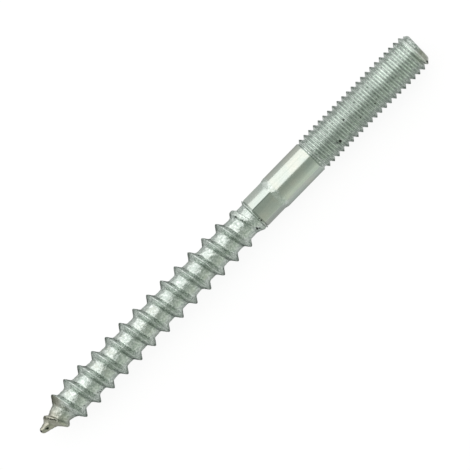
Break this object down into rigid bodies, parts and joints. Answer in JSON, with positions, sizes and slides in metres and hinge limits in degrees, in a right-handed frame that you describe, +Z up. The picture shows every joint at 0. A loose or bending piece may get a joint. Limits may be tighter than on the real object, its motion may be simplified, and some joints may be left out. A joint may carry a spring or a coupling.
{
  "type": "hanger bolt",
  "caption": "Double-ended steel hanger bolt: coarse wood thread with a gimlet point, short pressed hexagon, plain shank and fine machine thread.",
  "frame": {"origin": "on the surface that the bolt lies on, under the middle of its length", "axes": "+X along the bolt's axis, from the gimlet point to the machine end; +Z up from the surface; +Y across"},
  "size_m": [0.1, 0.008, 0.008],
  "materials": {
    "zinc_plated_steel": "bright zinc plating, slightly rough, with faint greenish-grey mottling"
  },
  "bodies": {
    "root": {"hanger_bolt": "zinc_plated_steel"}
  },
  "joints": []
}
